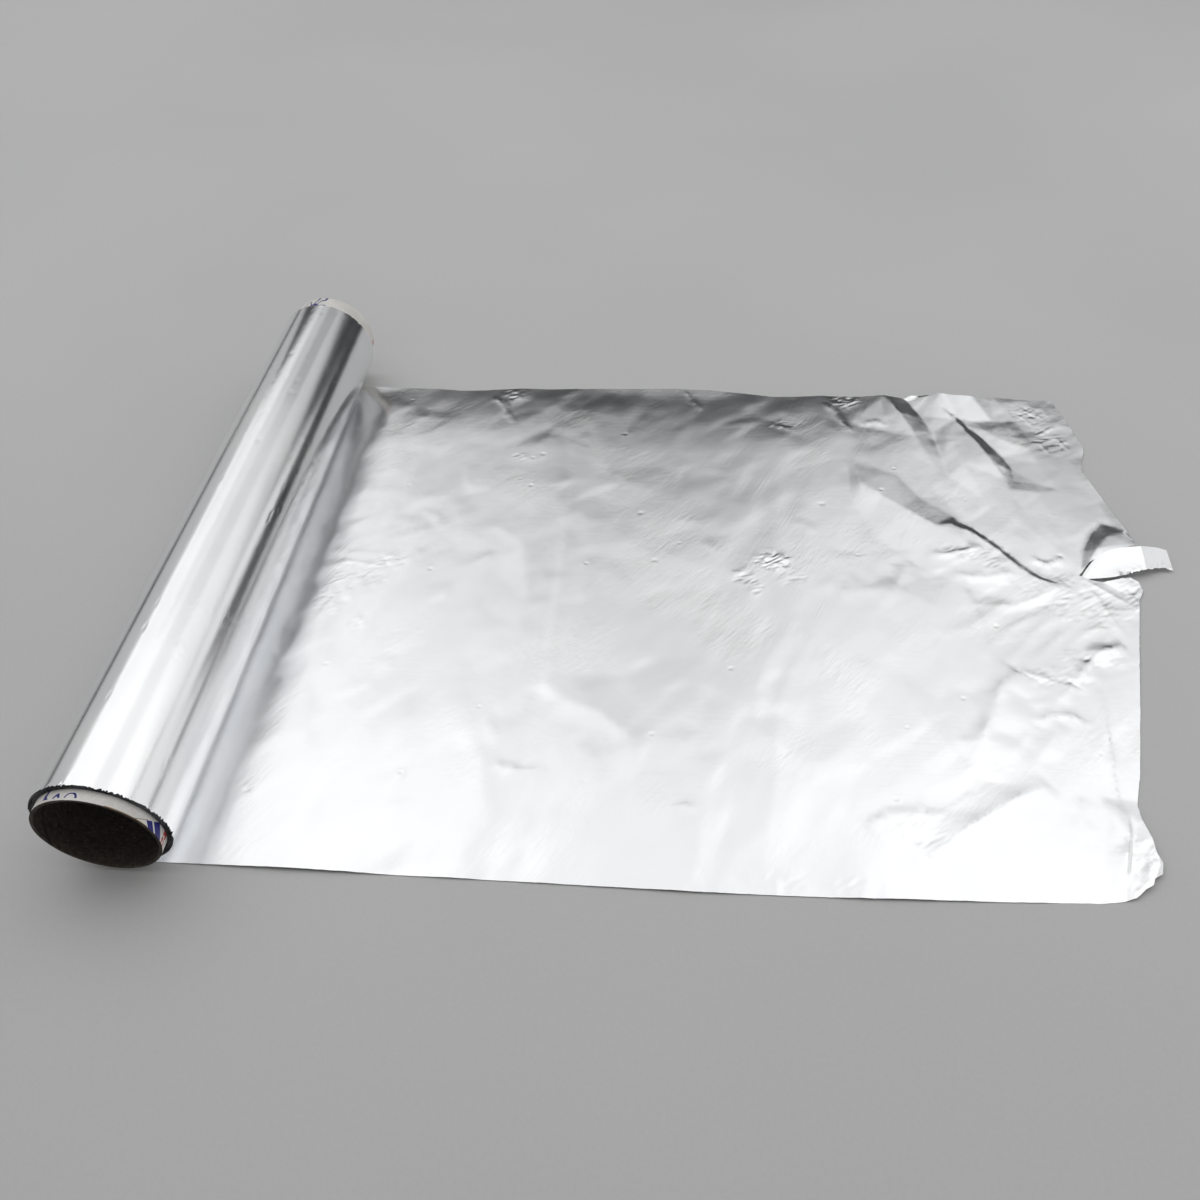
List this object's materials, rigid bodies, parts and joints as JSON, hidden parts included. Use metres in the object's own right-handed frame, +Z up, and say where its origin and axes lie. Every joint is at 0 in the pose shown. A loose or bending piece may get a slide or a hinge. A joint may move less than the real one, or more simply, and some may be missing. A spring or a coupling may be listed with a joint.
{
  "type": "aluminium foil roll",
  "caption": "Part-used roll of household aluminium foil on a paperboard tube, with its free end pulled out flat and torn off unevenly.",
  "frame": {"origin": "on the axis of the tube's bore, in the middle of the foil's width; the table top is 24.4 mm below it", "axes": "+Y along the roll's axis, towards the end where the tube stands out further; +X along the pulled-out sheet, away from the roll; +Z up"},
  "size_m": [0.4373, 0.3155, 0.0488],
  "materials": {
    "foil_metal": "thin rolled aluminium foil: bright with fine rolling lines on the outside of the roll, satin on the side that shows on the pulled-out sheet, with soft creases",
    "paperboard": "spirally wound paperboard with a white outer ply that carries plain blue stripes and small red marks, and raw brown edges"
  },
  "bodies": {
    "root": {"foil": "foil_metal", "core_tube": "paperboard"}
  },
  "joints": []
}
